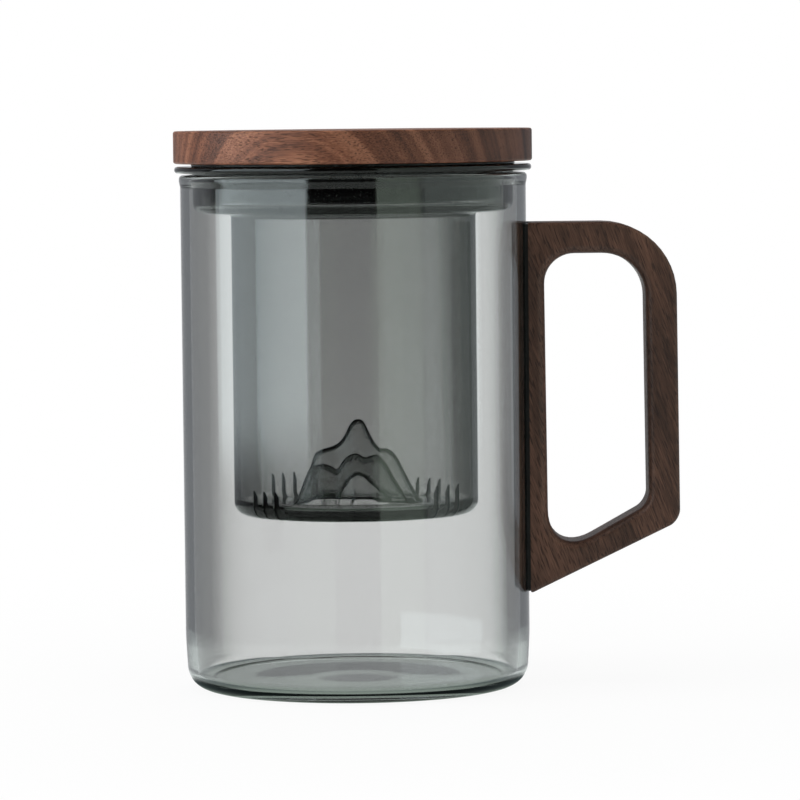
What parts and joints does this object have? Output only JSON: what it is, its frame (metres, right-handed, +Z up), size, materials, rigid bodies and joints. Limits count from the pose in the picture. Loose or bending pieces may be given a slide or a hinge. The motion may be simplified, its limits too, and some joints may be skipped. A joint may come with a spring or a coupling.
{
  "type": "lidded tea mug with infuser",
  "caption": "Straight smoked-glass tea mug with walnut handle, lift-out glass infuser with slits and a hollow mountain in its floor, and a walnut plug lid with silicone ring.",
  "frame": {"origin": "on the cup's axis, at the underside of its base", "axes": "+Z up along the cup's axis, +X towards the handle, +Y to the far side when the handle is on the right"},
  "size_m": [0.1237, 0.0882, 0.1373],
  "materials": {
    "cup_glass": "smoked clear glass, fire polished",
    "infuser_glass": "smoked clear glass, fire polished, sawn slits",
    "handle_walnut": "oiled walnut, satin",
    "lid_walnut": "oiled walnut, satin",
    "silicone": "translucent silicone",
    "bond": "black adhesive, satin"
  },
  "bodies": {
    "cup": {"cup_glass": "cup_glass", "handle": "handle_walnut", "handle_bond": "bond"},
    "infuser": {"infuser_glass": "infuser_glass"},
    "lid": {"lid_board": "lid_walnut", "lid_seal": "silicone"}
  },
  "joints": [
    {"name": "infuser_lift", "type": "slide", "parent": "cup", "child": "infuser", "axis": [0, 0, 1], "range_m": [0, 0.1]},
    {"name": "lid_lift", "type": "slide", "parent": "infuser", "child": "lid", "axis": [0, 0, 1], "range_m": [0, 0.04]}
  ]
}
